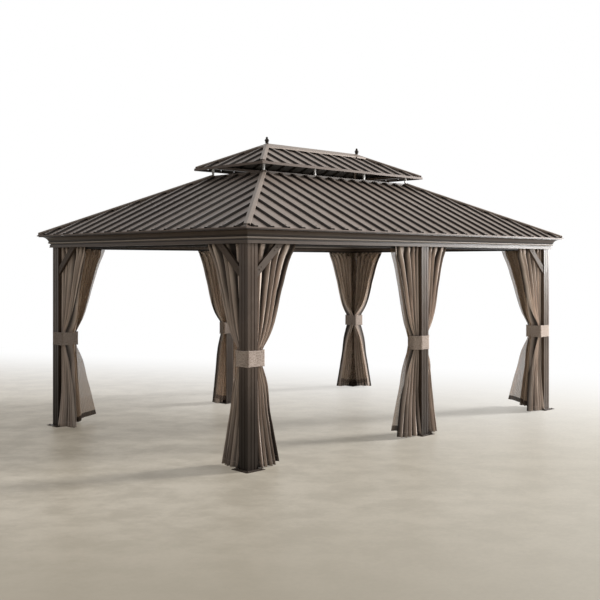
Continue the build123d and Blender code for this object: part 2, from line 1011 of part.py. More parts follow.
# Tie bands: one wide band round each post and the hangings beside it
def band(inner, outer):
    with BuildPart() as loop:
        with BuildSketch(Plane.XY.offset(tie_bottom)):
            with BuildLine():
                Polyline(*outer, close=True)
            make_face()
            with BuildLine():
                Polyline(*inner, close=True)
            make_face(mode=Mode.SUBTRACT)
        extrude(amount=tie_top - tie_bottom)
    return loop.part


def corner_loop(spread):
    near_x = -post_x - tie_gap - spread
    near_y = -post_y - tie_gap - spread
    far_x = -post_x + tie_reach + spread - tie_thickness
    far_y = -post_y + tie_reach + spread - tie_thickness
    return [(near_x, near_y), (far_x, near_y), (far_x, far_y), (near_x, far_y)]


def middle_loop(spread):
    front = -post_y - tie_gap - spread
    back = -post_y + post_size + tie_gap + spread
    half = post_size / 2 + tie_gap + spread * 0.5
    far = tie_reach - post_size / 2 - tie_thickness + spread
    setback = -post_y + tie_setback
    return [
        (-half, front),
        (half, front),
        (far, setback),
        (far, back),
        (-far, back),
        (-far, setback),
    ]


with BuildPart() as tie_bands:
    add(band(corner_loop(0), corner_loop(tie_thickness)))
    mirror(about=Plane.YZ)
    mirror(about=Plane.XZ)
with BuildPart() as middle_bands:
    add(band(middle_loop(0), middle_loop(tie_thickness)))
    mirror(about=Plane.XZ)
with BuildPart() as all_bands:
    add(tie_bands.part)
    add(middle_bands.part)
save(all_bands.part, "tie_bands")
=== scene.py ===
# %% [markdown]
# # A metal gazebo with curtains and nets
# A garden gazebo of powder-coated metal stands on six square posts. Its roof is ribbed sheet in two
# tiers, with a vent between them. Brown curtains and insect nets are tied to the posts. The lesson
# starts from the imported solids, which never move, and gives them light, finishes, cloth and small
# fittings. All lengths are metres, in the frame of the solids: the long side runs along X, the short
# side along Y, and the corner nearest to the camera has the lowest X and Y.

# %% Load the frame
import json
import math

import bpy
import numpy as np
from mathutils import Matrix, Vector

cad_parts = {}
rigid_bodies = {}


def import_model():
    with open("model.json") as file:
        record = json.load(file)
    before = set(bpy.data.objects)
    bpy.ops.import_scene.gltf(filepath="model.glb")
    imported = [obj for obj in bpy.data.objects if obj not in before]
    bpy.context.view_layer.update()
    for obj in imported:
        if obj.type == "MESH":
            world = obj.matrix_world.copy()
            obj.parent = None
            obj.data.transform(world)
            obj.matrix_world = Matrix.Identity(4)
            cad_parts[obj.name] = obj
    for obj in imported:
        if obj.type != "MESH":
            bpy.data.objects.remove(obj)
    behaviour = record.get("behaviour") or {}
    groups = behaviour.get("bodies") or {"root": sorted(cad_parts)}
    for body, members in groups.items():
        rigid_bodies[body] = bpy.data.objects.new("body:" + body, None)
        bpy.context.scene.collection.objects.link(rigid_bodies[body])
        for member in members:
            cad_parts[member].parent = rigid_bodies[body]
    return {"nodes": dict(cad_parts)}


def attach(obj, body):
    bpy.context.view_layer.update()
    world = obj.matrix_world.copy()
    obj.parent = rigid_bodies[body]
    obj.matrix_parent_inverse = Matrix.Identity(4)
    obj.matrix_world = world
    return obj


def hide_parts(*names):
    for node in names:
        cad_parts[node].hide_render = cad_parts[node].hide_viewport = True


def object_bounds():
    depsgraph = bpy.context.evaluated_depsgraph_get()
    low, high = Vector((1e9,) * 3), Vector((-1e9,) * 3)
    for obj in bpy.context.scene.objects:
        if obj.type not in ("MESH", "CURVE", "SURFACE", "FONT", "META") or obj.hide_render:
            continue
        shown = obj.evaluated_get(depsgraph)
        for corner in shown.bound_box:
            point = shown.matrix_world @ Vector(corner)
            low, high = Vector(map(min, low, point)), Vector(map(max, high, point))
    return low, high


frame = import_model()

cad_low, cad_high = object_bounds()
nodes = frame["nodes"]
print("nodes", len(nodes), "box", [round(v, 3) for v in (*cad_low, *cad_high)])

# %% [markdown]
# ## Sizes read from the solids
# Cloth and fittings have to meet the metal, so their places are worked out from the solids and not
# typed again. A node's mesh holds its place, so its points give its box. The gazebo is even about
# its middle, so one corner's values, with a sign, serve all four corners.


# %% Sizes from the frame
def node_box(name):
    """The low and the high corner of a solid's node, to a tenth of a millimetre."""
    points = np.array([vertex.co for vertex in nodes[name].data.vertices])
    return [[round(float(value), 4) for value in corner] for corner in (points.min(0), points.max(0))]


def made(*starts):
    """How many pieces with such names the lesson itself has made, solids left out."""
    return sum(o.name.startswith(starts) and o.name not in nodes for o in bpy.data.objects)


post_low, (POST_X, POST_Y, _) = node_box("post_back_right")
POST = round(POST_X - post_low[0], 4)
RAIL_UNDER, RAIL_TOP = (corner[2] for corner in node_box("curtain_rails"))
TIE_LOW, TIE_HIGH = (corner[2] for corner in node_box("tie_bands"))
PLATE_TOP = node_box("foot_plates")[1][2]
ROOF_X, ROOF_Y = (round(float(value), 4) for value in cad_high[:2])
VENT_X = node_box("roof_right")[0][0]
(_, VENT_Y, _), (_, _, VENT_HIGH) = node_box("roof_back")
print("posts", POST_X, POST_Y, POST, "rails", RAIL_UNDER, RAIL_TOP, "bands", TIE_LOW, TIE_HIGH)
print("roof", ROOF_X, ROOF_Y, "vent", VENT_X, VENT_Y, VENT_HIGH, "foot plates", PLATE_TOP)

# %% [markdown]
# ## The camera
# The photograph is level, so upright lines stay upright. The camera's place, turn and focal length
# come from a fit of the posts, eaves and ridges. The shift puts the horizon above the middle of the
# frame without tilting the camera.

# %% Camera
VIEW_TURN = 0.797
camera_data = bpy.data.cameras.new("camera")
camera_data.sensor_width = 36.0
camera_data.lens = 55.943
camera_data.shift_x = 0.01465
camera_data.shift_y = -0.0606
camera = bpy.data.objects.new("camera", camera_data)
bpy.context.scene.collection.objects.link(camera)
camera.location = (-8.1714, -7.9659, 1.8718)
camera.rotation_euler = (math.pi / 2, 0, VIEW_TURN - math.pi / 2)
bpy.context.scene.camera = camera
bpy.context.scene.view_settings.view_transform = "Standard"
print("lens", round(camera_data.lens, 3), "height", round(camera.location.z, 3))

# %% [markdown]
# ## Shader arithmetic
# A small class wraps a socket, so that shader maths reads like ordinary maths. Every sum or product
# adds one Math node. The reflected forms let a plain number stand on the left, as in 1 - mask.


# %% Values
class Value:
    """A socket of a shader tree that takes part in arithmetic."""

    def __init__(self, tree, socket):
        self.tree = tree
        self.socket = socket

    def apply(self, operation, *others):
        node = self.tree.nodes.new("ShaderNodeMath")
        node.operation = operation
        for place, value in zip(node.inputs, (self, *others)):
            if isinstance(value, Value):
                self.tree.links.new(value.socket, place)
            else:
                place.default_value = value
        return Value(self.tree, node.outputs[0])

    def __add__(self, other):
        return self.apply("ADD", other)

    def __radd__(self, other):
        return self.apply("ADD", other)

    def __sub__(self, other):
        return self.apply("SUBTRACT", other)

    def __rsub__(self, other):
        node = self.tree.nodes.new("ShaderNodeMath")
        node.operation = "SUBTRACT"
        node.inputs[0].default_value = other
        self.tree.links.new(self.socket, node.inputs[1])
        return Value(self.tree, node.outputs[0])

    def __mul__(self, other):
        return self.apply("MULTIPLY", other)

    def __rmul__(self, other):
        return self.apply("MULTIPLY", other)

    def __abs__(self):
        return self.apply("ABSOLUTE")

    def sine(self):
        return self.apply("SINE")

    def least(self, other):
        return self.apply("MINIMUM", other)

    def most(self, other):
        return self.apply("MAXIMUM", other)

    def wrapped(self, pitch):
        """The distance to the nearest whole multiple of the pitch."""
        return self.apply("PINGPONG", pitch / 2)

    def ramp(self, low, high):
        """0 below low, 1 above high, and smooth between them."""
        node = self.tree.nodes.new("ShaderNodeMapRange")
        node.interpolation_type = "SMOOTHSTEP"
        self.tree.links.new(self.socket, node.inputs["Value"])
        node.inputs["From Min"].default_value = low
        node.inputs["From Max"].default_value = high
        return Value(self.tree, node.outputs["Result"])


print("a value knows", len([m for m in dir(Value) if not m.startswith("_")]), "named operations")

# %% [markdown]
# ## Finishes
# A finish holds one material and its Principled shader. Numbers that are the same all over are set
# on the shader itself, and what varies is linked to it. One method makes any other node from its
# type, its settings and its inputs. Patterns read Object coordinates, so they keep their real size.


# %% Finishes
class Finish:
    """One material with a Principled shader."""

    def __init__(self, name, **constants):
        self.material = bpy.data.materials.new(name)
        self.material.use_nodes = True
        self.tree = self.material.node_tree
        self.shader = self.tree.nodes["Principled BSDF"]
        for key, value in constants.items():
            self.shader.inputs[key.replace("_", " ")].default_value = value
        self.place = self.node("ShaderNodeTexCoord").outputs["Object"]

    def node(self, kind, settings=(), values=()):
        """Any node: its settings are set first, then its inputs are filled or linked."""
        node = self.tree.nodes.new(kind)
        for key, value in dict(settings).items():
            setattr(node, key, value)
        for key, value in dict(values).items():
            if isinstance(value, Value):
                value = value.socket
            if isinstance(value, bpy.types.NodeSocket):
                self.tree.links.new(value, node.inputs[key])
            else:
                node.inputs[key].default_value = value
        return node

    def value(self, socket):
        return Value(self.tree, socket)

    def axes(self, vector=None):
        """The three parts of a vector, by default of the place on the object."""
        parts = self.node("ShaderNodeSeparateXYZ", values={"Vector": vector or self.place})
        return [self.value(part) for part in parts.outputs]

    def stretched(self, factors, vector=None):
        """A vector with its parts multiplied."""
        settings = {"operation": "MULTIPLY"}
        values = {0: vector or self.place, 1: factors}
        return self.node("ShaderNodeVectorMath", settings, values).outputs[0]

    def noise(self, scale, detail=3.0, vector=None, rough=0.5):
        values = {
            "Vector": vector or self.place,
            "Scale": scale,
            "Detail": detail,
            "Roughness": rough,
        }
        return self.value(self.node("ShaderNodeTexNoise", values=values).outputs[0])

    def mix(self, factor, first, second):
        """A colour between two colours."""
        values = {0: factor, 6: first, 7: second}
        return self.node("ShaderNodeMix", {"data_type": "RGBA"}, values).outputs[2]

    def set(self, name, value):
        if isinstance(value, Value):
            value = value.socket
        self.tree.links.new(value, self.shader.inputs[name])

    def bump(self, height, distance, strength=1.0):
        values = {"Height": height, "Distance": distance, "Strength": strength}
        self.set("Normal", self.node("ShaderNodeBump", values=values).outputs[0])


print("a finish knows", len([m for m in dir(Finish) if not m.startswith("_")]), "steps")

# %% [markdown]
# ## Colours
# Colours are written in the 0 to 255 values that a picture shows. The shader works in linear light,
# so each part goes through the usual curve for screens.


# %% Colours
def rgb(red, green, blue):
    """A colour from its 0 to 255 values, in linear light."""
    linear = []
    for part in (red, green, blue):
        part = part / 255.0
        linear.append(part / 12.92 if part < 0.04045 else ((part + 0.055) / 1.055) ** 2.4)
    return (*linear, 1.0)


WHITE = (1.0, 1.0, 1.0, 1.0)
print("middle grey in linear light", round(rgb(128, 128, 128)[0], 3))

# %% [markdown]
# ## The world
# A plain world lights the gazebo from all sides. The camera and reflections see it at full white,
# and as a lamp it is dimmer, so that the lamps' shading shows. Light Path tells the two apart.


# %% World
def looked_at(tree):
    """1 for rays that show a surface directly or in a reflection, 0 for rays that only light it."""
    rays = tree.nodes.new("ShaderNodeLightPath").outputs
    looked = Value(tree, rays["Is Camera Ray"]) + Value(tree, rays["Is Glossy Ray"])
    return (looked + Value(tree, rays["Is Transmission Ray"])).least(1.0)


FILL_LIGHT = 0.34
world = bpy.data.worlds.new("studio")
bpy.context.scene.world = world
world.use_nodes = True
background = world.node_tree.nodes["Background"]
background.inputs["Color"].default_value = WHITE
strength = FILL_LIGHT + looked_at(world.node_tree) * (1.0 - FILL_LIGHT)
world.node_tree.links.new(strength.socket, background.inputs["Strength"])
print("world as a lamp", FILL_LIGHT)

# %% [markdown]
# ## The lamps
# One soft sun and one large soft panel both stand to the right of the camera, a little beyond the
# middle of the gazebo. They light the long side in front at a low angle from its right end, and the
# short side at the left stays in soft shade, as in the photograph.


# %% Lamps
def lamp(name, kind, power, place, target, **settings):
    """A lamp at a place, turned so that it shines at the target."""
    data = bpy.data.lights.new(name, kind)
    data.energy = power
    for key, value in settings.items():
        setattr(data, key, value)
    piece = bpy.data.objects.new(name, data)
    bpy.context.scene.collection.objects.link(piece)
    piece.location = place
    way = np.array(target, float) - np.array(place, float)
    flat = math.hypot(way[0], way[1])
    piece.rotation_euler = (math.atan2(flat, -way[2]), 0, math.atan2(way[1], way[0]) - math.pi / 2)


lamp("sun", "SUN", 3.3, (8.14, -3.62, 4.3), (0, 0, 0), angle=math.radians(12))
lamp("panel", "AREA", 1050.0, (9.6, -6.0, 3.2), (0.5, -0.8, 1.3), size=2.8)

# %% [markdown]
# ## The floor
# The floor is one large plane. It isn't part of the gazebo.

# %% Floor
FLOOR_HALF = 60
floor_mesh = bpy.data.meshes.new("floor")
corners = [(x * FLOOR_HALF, y * FLOOR_HALF, 0) for x, y in ((-1, -1), (1, -1), (1, 1), (-1, 1))]
floor_mesh.from_pydata(corners, [], [(0, 1, 2, 3)])
floor = bpy.data.objects.new("floor", floor_mesh)
bpy.context.scene.collection.objects.link(floor)
print("floor", tuple(floor.dimensions))

# %% [markdown]
# ## Concrete
# The concrete is pale and cloudy. Painted light makes it a little darker in front and paler to the
# right, where the lamps stand, and it fades to white behind the gazebo and far from it, so that no
# horizon shows. Its places are measured along and across the direction in which the photograph was
# taken, as fixed directions of the floor.

# %% Concrete colour
concrete = Finish("floor_concrete", Roughness=0.42, Specular_IOR_Level=0.35)
x, y, _ = concrete.axes()
away = x * math.cos(VIEW_TURN) + y * math.sin(VIEW_TURN)
aside = x * math.sin(VIEW_TURN) - y * math.cos(VIEW_TURN)
values = {"X": away * 1.1, "Y": aside * 0.8}
drift = concrete.node("ShaderNodeCombineXYZ", values=values).outputs[0]
cloudy = concrete.noise(2.9, 6.0, drift, rough=0.66)
grain = concrete.noise(26.0, 6.0, rough=0.65)
near_colour = concrete.mix(cloudy.ramp(0.35, 0.65), rgb(172, 162, 145), rgb(193, 183, 166))
# Painted shade makes the concrete a little darker in front
near_colour = concrete.mix(away.ramp(-7.0, -3.8), rgb(160, 150, 132), near_colour)
# Painted light makes the concrete paler to the right, where the lamps stand
near_colour = concrete.mix(aside.ramp(-3.0, 5.0) * 0.75, near_colour, rgb(212, 206, 193))
pale = concrete.mix((away + aside * 0.3).ramp(-3.0, 5.0), near_colour, rgb(252, 251, 248))
pale = concrete.mix(grain.ramp(0.3, 0.7) * 0.2, pale, rgb(150, 143, 131))
concrete.set("Base Color", pale)
concrete.bump(grain, 0.002, 0.25)
floor_mesh.materials.append(concrete.material)
print("concrete nodes", len(concrete.tree.nodes))

# %% [markdown]
# ## White behind the gazebo
# The floor also glows, but only for rays that look at it, directly or in a reflection. Behind the
# gazebo the glow takes over and gives the white background. Near the gazebo its share is about a
# third, and the rest is ordinary concrete that keeps the shadow.

# %% Floor glow
NEAR_GLOW = 0.36
reach = (x * x + y * y).apply("SQRT")
white = reach.ramp(8.0, 15.0).most((away + aside * 0.35).ramp(-1.5, 6.5))
values = {"Color": concrete.mix(white, near_colour, WHITE), "Strength": 1.0}
glow = concrete.node("ShaderNodeEmission", values=values)
share = (NEAR_GLOW + white * (1.0 - NEAR_GLOW)) * looked_at(concrete.tree)
values = {0: share, 1: concrete.shader.outputs[0], 2: glow.outputs[0]}
blend = concrete.node("ShaderNodeMixShader", values=values)
output = concrete.tree.nodes["Material Output"]
concrete.tree.links.new(blend.outputs[0], output.inputs["Surface"])
print("glow near the gazebo", NEAR_GLOW)

# %% [markdown]
# ## Powder coat
# The frame is powder-coated dark bronze. The coat has fine orange peel, patches of dust and slightly
# uneven gloss. All of it is noise on Object coordinates, so the coat's grain has one size on every
# piece. Two gradings are painted light and shade, because plain soft light doesn't give them: painted
# shade darkens the posts towards the floor, most of all at the near end, and a painted highlight and
# painted shade can follow a moulding in level stripes.


# %% Powder coat
def coated(name, deep, pale_colour, gloss, metal=0.0, foot=0.0, stripes=()):
    """A powder coat: two near colours in soft clouds, fine speckle and orange peel."""
    finish = Finish(name, Metallic=metal, Specular_IOR_Level=0.18, Coat_Weight=0.02, Coat_Roughness=0.3)
    clouds = finish.noise(1.7, 4.0)
    speckle = finish.noise(420.0, 2.0)
    peeled = finish.noise(260.0, 2.0)
    along, _, height = finish.axes()
    dust = finish.noise(7.0, 5.0, rough=0.65).ramp(0.45, 0.8)
    colour = finish.mix(clouds.ramp(0.3, 0.7), deep, pale_colour)
    colour = finish.mix(speckle.ramp(0.55, 0.8) * 0.25, colour, pale_colour)
    colour = finish.mix(dust * 0.08, colour, rgb(150, 140, 128))
    # Rain splashes dirt on the lowest third of a metre
    splash = (0.35 - height).ramp(0.0, 0.35) * dust
    colour = finish.mix(splash * 0.12, colour, rgb(120, 110, 98))
    # Painted shade: the posts darken towards the floor, most of all at the near end
    if foot:
        painted_foot_shade = (1.0 - height.ramp(-0.2, 1.9)) * (1.0 - along.ramp(-1.0, 2.4) * 0.8)
        colour = finish.mix(painted_foot_shade * foot, colour, rgb(22, 16, 11))
    # Painted highlight and painted shade in level stripes, such as along a moulding
    for low, high, share, shade in stripes:
        stripe = height.ramp(low - 0.003, low + 0.003) * (1.0 - height.ramp(high - 0.003, high + 0.003))
        colour = finish.mix(stripe * share, colour, shade)
    finish.set("Base Color", colour)
    finish.set("Roughness", gloss + (clouds - 0.5) * 0.16 + dust * 0.06)
    finish.bump(peeled + speckle * 0.3, 0.00025, 0.6)
    return finish


bronze = coated("frame_bronze", rgb(82, 69, 59), rgb(96, 83, 72), 0.40)
post_bronze = coated("post_bronze", rgb(78, 65, 55), rgb(94, 79, 67), 0.32, foot=0.92)
brace_bronze = coated("brace_bronze", rgb(74, 62, 53), rgb(87, 75, 65), 0.62)
print("coat nodes", len(bronze.tree.nodes), "on posts", len(post_bronze.tree.nodes))

# %% [markdown]
# ## The crown's stripes
# The crown is a moulding all round the top. Level stripes paint a highlight on its lip, and painted
# shade darkens the groove under the lip, the cove over it and the top under the eave. Each stripe has
# a low edge, a high edge, how much it covers and its colour.

# %% Crown
# Stripes of painted shade, with a painted highlight on the lip
CROWN_LIGHT_AND_SHADE = [
    (2.086, 2.099, 0.75, rgb(30, 24, 20)),
    (2.101, 2.117, 0.60, rgb(176, 166, 157)),
    (2.121, 2.141, 0.88, rgb(36, 28, 22)),
    (2.144, 2.165, 0.40, rgb(40, 32, 26)),
    (2.168, 2.200, 0.60, rgb(36, 28, 22)),
]
crown_bronze = coated("crown_bronze", rgb(80, 68, 58), rgb(93, 80, 70), 0.38, stripes=CROWN_LIGHT_AND_SHADE)
print("crown stripes", len(CROWN_LIGHT_AND_SHADE))

# %% [markdown]
# ## Other metal
# Brackets, feet, roof trims, finials, rails and screws take the same coat in other colours. The
# gliders' steel is the most metallic of them.

# %% Other metal
zinc = coated("bracket_zinc", rgb(205, 204, 200), rgb(222, 221, 218), 0.4, 0.1)
steel = coated("foot_steel", rgb(58, 49, 42), rgb(72, 62, 54), 0.5, 0.1)
trim = coated("roof_trim", rgb(134, 121, 111), rgb(148, 135, 125), 0.45, 0.1)
fascia = coated("roof_fascia", rgb(84, 70, 61), rgb(97, 83, 73), 0.45, 0.1)
finial_bronze = coated("finial_bronze", rgb(40, 35, 31), rgb(52, 46, 41), 0.4, 0.1)
dark = coated("dark_inside", rgb(30, 26, 23), rgb(38, 33, 29), 0.6)
screw_steel = coated("screw_steel", rgb(120, 110, 102), rgb(150, 141, 132), 0.35, 0.6)
print("materials so far", len(bpy.data.materials))

# %% [markdown]
# ## Ribbed roof sheet
# The roof is coated sheet in a paler taupe. Its ribs repeat at one pitch, so the distance to the
# nearest rib marks what belongs to a rib. The top of a rib is a little darker than the pan, with a
# thin line of painted shade along its edges, its sides are painted nearly black as shade, and the
# underside is painted dark as shade too. A rib is 38 mm wide at its top and 62 mm at its base.

# %% Ribbed sheet
SIDE_PITCH = 0.200
END_PITCH = 0.208


def ribbed_finish(name, axis, pitch):
    """Roof sheet whose ribs repeat along an axis: 0 is X and 1 is Y."""
    finish = Finish(name, Metallic=0.05, Specular_IOR_Level=0.3, Coat_Weight=0.05, Coat_Roughness=0.35)
    from_rib = finish.axes()[axis].wrapped(pitch)
    clouds = finish.noise(1.3, 4.0)
    down_the_slope = (1.0, 30.0, 1.0) if axis == 0 else (30.0, 1.0, 1.0)
    streaks = finish.noise(3.0, 4.0, finish.stretched(down_the_slope)).ramp(0.35, 0.7)
    peeled = finish.noise(240.0, 2.0)
    colour = finish.mix(clouds.ramp(0.3, 0.7), rgb(136, 122, 112), rgb(148, 134, 124))
    colour = finish.mix(streaks * 0.16, colour, rgb(122, 112, 104))
    # Painted shade: a thin dark line along the edges of a rib's top
    edge = from_rib.ramp(0.008, 0.012)
    top = 1.0 - from_rib.ramp(0.017, 0.020)
    colour = finish.mix(top * (0.1 + edge * 0.65), colour, rgb(74, 62, 54))
    # Painted shade: a rib's sides are nearly black
    side = from_rib.ramp(0.0185, 0.0195) * (1.0 - from_rib.ramp(0.0315, 0.036))
    colour = finish.mix(side * 0.95, colour, rgb(28, 22, 18))
    # Painted shade: the underside of the sheet, facing down, is dark
    upward = finish.axes(finish.node("ShaderNodeNewGeometry").outputs["Normal"])[2]
    colour = finish.mix(1.0 - upward.ramp(-0.5, -0.3), colour, rgb(40, 35, 30))
    finish.set("Base Color", colour)
    finish.set("Roughness", 0.46 + (clouds - 0.5) * 0.14 + side * 0.3)
    finish.bump(peeled + streaks * 0.2, 0.0003, 0.6)
    return finish


long_sheet = ribbed_finish("roof_sheet_long", 0, SIDE_PITCH)
short_sheet = ribbed_finish("roof_sheet_short", 1, END_PITCH)
print("sheet nodes", len(long_sheet.tree.nodes))

# %% [markdown]
# ## Which node gets which finish
# A node's finish is found by how its name starts, and the roof sheets by the side that they are on.

# %% Finishes of the solids
FINISHES = {
    "post": post_bronze,
    "foot_plates": steel,
    "crown": crown_bronze,
    "braces": brace_bronze,
    "curtain_rails": dark,
    "rafters": bronze,
    "vent_ring": bronze,
    "vent_brackets": zinc,
    "upper_frame": bronze,
    "eave_trims": fascia,
    "hip_caps": trim,
    "ridge_cap": trim,
    "finials": finial_bronze,
}


def finish_for(name):
    if "roof_" in name:
        return long_sheet if name.endswith(("front", "back")) else short_sheet
    return next((f for start, f in FINISHES.items() if name.startswith(start)), None)


for name, node in nodes.items():
    chosen = finish_for(name)
    if chosen:
        node.data.materials.clear()
        node.data.materials.append(chosen.material)
print("finished nodes", sum(1 for n in nodes if finish_for(n)))

# %% [markdown]
# ## The weave
# Curtains and bands are a heavy brown outdoor weave with slubs and a soft sheen. The weave follows
# the cloth through a map of its own, in metres of the flat cloth, so it bends with the folds.

# %% Weave
THREAD_PITCH = 0.0016
CURTAIN_LENGTH = 2.045
NET_LENGTH = 1.985


def cloth_map(finish):
    """The map itself, and the places across and down the flat cloth, in metres."""
    socket = finish.node("ShaderNodeUVMap", {"uv_map": "flat"}).outputs[0]
    across, down, _ = finish.axes(socket)
    return socket, across, down


def woven(name, deep, pale_colour):
    """The weave that curtains and bands share, with its map, its colour and its height."""
    finish = Finish(name, Roughness=0.85, Specular_IOR_Level=0.2, Sheen_Weight=0.2, Sheen_Roughness=0.4)
    flat, across, down = cloth_map(finish)
    warp = (across * (2 * math.pi / THREAD_PITCH)).sine()
    weft = (down * (2 * math.pi / THREAD_PITCH)).sine()
    slubs = finish.noise(60.0, 3.0, finish.stretched((1.0, 0.12, 1.0), flat))
    clouds = finish.noise(2.5, 3.0, flat)
    colour = finish.mix(clouds.ramp(0.3, 0.7), deep, pale_colour)
    colour = finish.mix(slubs.ramp(0.45, 0.75) * 0.3, colour, pale_colour)
    height = warp * 0.5 + weft * 0.5 + slubs * 1.5
    return finish, flat, across, down, colour, height


print("threads to a centimetre", round(0.01 / THREAD_PITCH, 1))

# %% [markdown]
# ## Curtain cloth
# The valleys of the folds get painted shade in a deep brown and the crests stay pale, which a second
# map marks. The cloth is darker towards the floor, except at the back, and long soft creases run down
# it, with painted shade in them. A stitched seam crosses it above the hem.

# %% Curtain cloth
SEAM = CURTAIN_LENGTH - 0.05
CURTAIN_DEEP = rgb(206, 187, 173)
VALLEY_SHADE = rgb(34, 28, 24)
curtain_cloth, flat, across, down, colour, height = woven(
    "curtain_cloth", CURTAIN_DEEP, rgb(228, 211, 197)
)
crest = curtain_cloth.axes(curtain_cloth.node("ShaderNodeUVMap", {"uv_map": "fold"}).outputs[0])[0]
# Painted shade in the valleys of the folds
colour = curtain_cloth.mix((1.0 - crest.ramp(0.15, 1.0)) * 0.96, colour, VALLEY_SHADE)
far = curtain_cloth.axes()[1].ramp(0.6, 1.7)
colour = curtain_cloth.mix(down.ramp(0.7, 2.1) * (1.0 - far) * 0.28, colour, VALLEY_SHADE)
streaks = curtain_cloth.stretched((1.0, 0.05, 1.0), flat)
# Painted shade along long soft creases, which the bump also presses in
creases = curtain_cloth.noise(17.0, 2.0, streaks).ramp(0.48, 0.62)
colour = curtain_cloth.mix(creases * 0.42, colour, VALLEY_SHADE)
seam = 1.0 - abs(down - SEAM).ramp(0.0, 0.003)
stitches = seam * (across * (2 * math.pi / 0.006)).sine().ramp(-0.2, 0.2)
colour = curtain_cloth.mix(seam * 0.35 + stitches * 0.2, colour, CURTAIN_DEEP)
curtain_cloth.set("Base Color", colour)
curtain_cloth.bump(height - creases * 4.0 - seam * 3.0, 0.0004, 0.7)
print("seam at", SEAM, "of", CURTAIN_LENGTH)

# %% [markdown]
# ## Band cloth
# The bands are the same weave, mottled all over. At the back of the gazebo, where the photograph
# shows them darker, they get painted shade.

# %% Band cloth
tie_cloth, flat, _, _, colour, height = woven("tie_cloth", rgb(174, 158, 147), rgb(194, 179, 167))
mottle = tie_cloth.noise(70.0, 4.0, flat).ramp(0.42, 0.62)
far = tie_cloth.axes()[1].ramp(0.6, 1.7)
colour = tie_cloth.mix(mottle * 0.55, colour, rgb(116, 100, 89))
# Painted shade: the bands at the back of the gazebo are darker
colour = tie_cloth.mix(far * 0.45, colour, rgb(60, 50, 42))
tie_cloth.set("Base Color", colour)
tie_cloth.bump(height, 0.0004, 0.7)
print("band cloth nodes", len(tie_cloth.tree.nodes))

# %% [markdown]
# ## Net
# The nets are a fine see-through mesh with a darker, closer hem. Between the drawn threads a thin
# veil stands for finer ones. The nets at the back are sheerer, as they look in the photograph, apart
# from those at the post on the left.

# %% Net
MESH_PITCH = 0.003
NET_HEM = 0.055
net_mesh = Finish("net_mesh", Roughness=0.8)
flat, across, down = cloth_map(net_mesh)
threads = across.wrapped(MESH_PITCH).least(down.wrapped(MESH_PITCH))
thread = 1.0 - threads.ramp(0.0002, 0.0007)
hem = down.ramp(NET_LENGTH - NET_HEM - 0.001, NET_LENGTH - NET_HEM + 0.001)
net_colour = net_mesh.mix(net_mesh.noise(40.0, 3.0, flat), rgb(180, 155, 132), rgb(200, 176, 152))
net_mesh.set("Base Color", net_mesh.mix(hem, net_colour, rgb(104, 88, 76)))
x, y, _ = net_mesh.axes()
far = y.ramp(0.6, 1.7) * x.ramp(-1.5, -0.5)
net_mesh.set("Alpha", (0.30 + thread * 0.42).most(hem * 0.80) * (1.0 - far * 0.7))
net_mesh.bump(thread + hem * 2.0, 0.0003, 0.5)
print("net meshes to a centimetre", round(0.01 / MESH_PITCH, 1))

# %% [markdown]
# ## The outline of a hanging
# A hanging is wide at the rail, drawn in by the band and spreads again towards the floor. The share
# of its spread at each height was measured along the curtains' edges in the photograph, at two dozen
# heights. Seeded random numbers, joined by smooth steps, make one fold differ from the next.

# %% Outline
SPREAD = [
    (0.000, 1.000), (0.076, 0.947), (0.172, 0.871), (0.268, 0.787), (0.364, 0.711),
    (0.460, 0.613), (0.555, 0.520), (0.650, 0.449), (0.745, 0.351), (0.811, 0.244),
    (0.870, 0.124), (0.905, 0.067), (0.930, 0.000), (1.090, 0.000), (1.115, 0.057),
    (1.160, 0.148), (1.235, 0.268), (1.326, 0.370), (1.418, 0.450), (1.511, 0.523),
    (1.605, 0.586), (1.698, 0.668), (1.793, 0.739), (1.887, 0.825), (1.983, 0.943),
    (2.060, 1.000),
]
SPREAD_Z = np.array([z for z, _ in SPREAD])
SPREAD_SHARE = np.array([w for _, w in SPREAD])


def edge_width(height, top, waist, foot):
    """How far the cloth reaches from the post's face at a height."""
    share = np.interp(height, SPREAD_Z, SPREAD_SHARE)
    full = np.where(height > 1.0, top, foot)
    return waist + (full - waist) * share


def smooth_noise(generator, count, places):
    """A smooth curve through random values, read at places from 0 to 1."""
    knots = generator.uniform(-1, 1, count + 3)
    spots = np.clip(places, 0, 1) * count
    index = spots.astype(int)
    part = spots - index
    part = part * part * (3 - 2 * part)
    return knots[index] * (1 - part) + knots[index + 1] * part


print("outline heights", len(SPREAD))

# %% [markdown]
# ## From points to a mesh
# A sheet is a grid of points. Its faces join neighbouring points, and its maps are written for every
# corner of every face.


# %% Meshes
def link_mesh(name, points, faces, finish, maps):
    """A smooth mesh with a finish and named maps, added to the scene."""
    mesh = bpy.data.meshes.new(name)
    mesh.from_pydata([tuple(p) for p in points], [], faces)
    loops = np.zeros(len(mesh.loops), int)
    mesh.loops.foreach_get("vertex_index", loops)
    for label, uv in maps.items():
        layer = mesh.uv_layers.new(name=label)
        layer.data.foreach_set("uv", uv[loops].astype(np.float32).ravel())
    mesh.materials.append(finish.material)
    mesh.shade_smooth()
    piece = bpy.data.objects.new(name, mesh)
    bpy.context.scene.collection.objects.link(piece)
    return piece


def grid_faces(columns, rows, closed=False, flip=False):
    """The faces of a grid; a closed one joins its last column to its first."""
    faces = []
    across = columns if closed else columns + 1
    for row in range(rows):
        for column in range(columns):
            a = row * across + column
            b = row * across + (column + 1) % across
            face = (a, b, b + across, a + across)
            faces.append(face[::-1] if flip else face)
    return faces


print("faces of a grid of 3 by 2", len(grid_faces(3, 2)))

# %% [markdown]
# ## Thickness
# Solidify gives a sheet its thickness, and the result is kept as plain mesh. On the inner side crests
# and valleys change places, so the fold map is turned round there.


